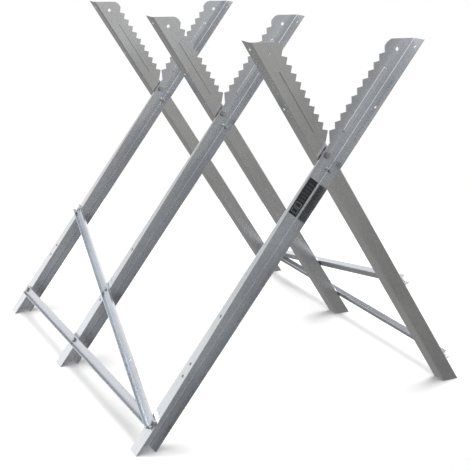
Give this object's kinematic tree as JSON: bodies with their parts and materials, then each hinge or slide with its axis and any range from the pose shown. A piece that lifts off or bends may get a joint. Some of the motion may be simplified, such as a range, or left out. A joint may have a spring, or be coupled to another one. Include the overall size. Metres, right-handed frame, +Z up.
{
  "type": "folding sawhorse",
  "caption": "Folding galvanised steel sawhorse for logs: crossed toothed legs on pivot bolts, tied by level and diagonal braces.",
  "frame": {"origin": "on the floor under the middle of the open stand", "axes": "+X from the left feet to the right feet, +Y from the front pair of legs to the back pair, +Z up"},
  "size_m": [0.8204, 0.8352, 0.78],
  "materials": {
    "galvanised_leg": "galvanised sheet, semi-gloss",
    "galvanised_brace": "galvanised sheet, bright",
    "zinc_fastener": "zinc-plated, satin",
    "label_film": "dark printed film, blank"
  },
  "bodies": {
    "left_side": {"front_left_leg": "galvanised_leg", "front_pivot_bolt": "zinc_fastener", "front_pivot_washer": "zinc_fastener", "front_pivot_nut": "zinc_fastener", "front_stop_pin": "zinc_fastener", "middle_left_leg": "galvanised_leg", "middle_pivot_bolt": "zinc_fastener", "middle_pivot_washer": "zinc_fastener", "middle_pivot_nut": "zinc_fastener", "middle_stop_pin": "zinc_fastener", "back_left_leg": "galvanised_leg", "back_pivot_bolt": "zinc_fastener", "back_pivot_washer": "zinc_fastener", "back_pivot_nut": "zinc_fastener", "back_stop_pin": "zinc_fastener", "left_diagonal_brace": "galvanised_brace", "left_level_brace": "galvanised_brace", "left_front_low_bolt": "zinc_fastener", "left_front_low_nut": "zinc_fastener", "left_middle_low_bolt": "zinc_fastener", "left_middle_low_nut": "zinc_fastener", "left_back_low_bolt": "zinc_fastener", "left_back_low_nut": "zinc_fastener", "left_middle_high_bolt": "zinc_fastener", "left_middle_high_nut": "zinc_fastener", "left_back_high_bolt": "zinc_fastener", "left_back_high_nut": "zinc_fastener", "blank_label": "label_film"},
    "right_side": {"front_right_leg": "galvanised_leg", "middle_right_leg": "galvanised_leg", "back_right_leg": "galvanised_leg", "right_diagonal_brace": "galvanised_brace", "right_level_brace": "galvanised_brace", "right_back_low_bolt": "zinc_fastener", "right_back_low_nut": "zinc_fastener", "right_middle_low_bolt": "zinc_fastener", "right_middle_low_nut": "zinc_fastener", "right_front_low_bolt": "zinc_fastener", "right_front_low_nut": "zinc_fastener", "right_middle_high_bolt": "zinc_fastener", "right_middle_high_nut": "zinc_fastener", "right_front_high_bolt": "zinc_fastener", "right_front_high_nut": "zinc_fastener"}
  },
  "joints": [
    {"name": "fold", "type": "hinge", "parent": "left_side", "child": "right_side", "pos_m": [0, 0, 0.55648], "axis": [0, 1, 0], "range_deg": [0, 68]}
  ]
}
